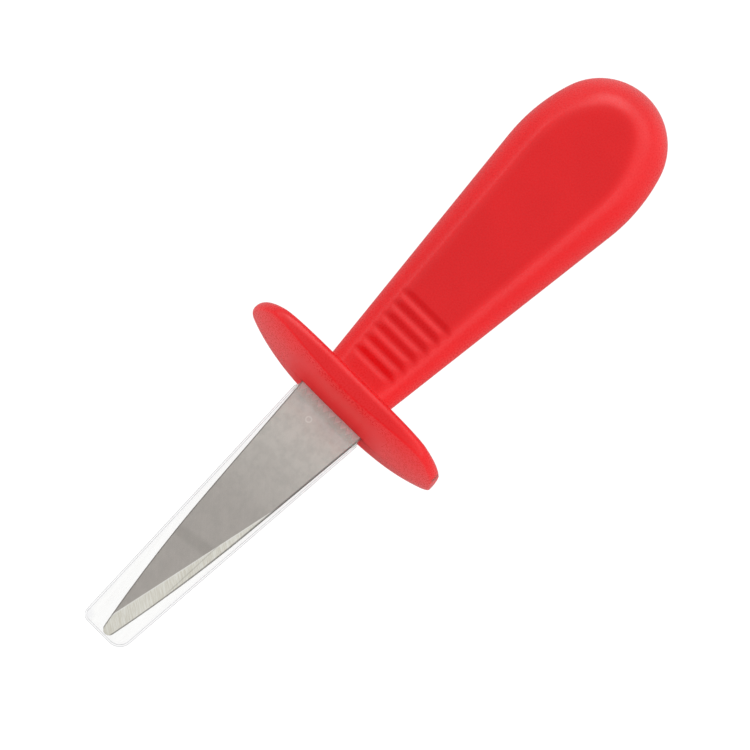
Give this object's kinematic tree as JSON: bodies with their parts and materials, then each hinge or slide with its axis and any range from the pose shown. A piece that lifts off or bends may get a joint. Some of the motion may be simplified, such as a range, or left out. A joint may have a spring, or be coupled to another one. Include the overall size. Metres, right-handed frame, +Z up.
{
  "type": "oyster knife",
  "caption": "Short oyster knife: moulded bulbous grip with finger ribs, round domed hand guard, lancet blade ground to one edge, clear slip-off blade sleeve.",
  "frame": {"origin": "on the table, under the middle of the bounding box of the knife at rest", "axes": "+X along the knife from the blade's tip towards the butt, +Z up; the knife lies on its guard and the heel of its butt, with the tip a little higher than the grip"},
  "size_m": [0.1652, 0.0536, 0.04],
  "materials": {
    "grip_plastic": "semi-gloss moulded",
    "blade_steel": "fine rolled, ground bevel",
    "clear_film": "clear, glossy"
  },
  "bodies": {
    "knife": {"handle": "grip_plastic", "blade": "blade_steel"},
    "sleeve": {"blade_sleeve": "clear_film"}
  },
  "joints": [
    {"name": "sleeve_pull", "type": "slide", "parent": "knife", "child": "sleeve", "axis": [-0.997, 0, 0.0775], "range_m": [0, 0.0766]}
  ]
}
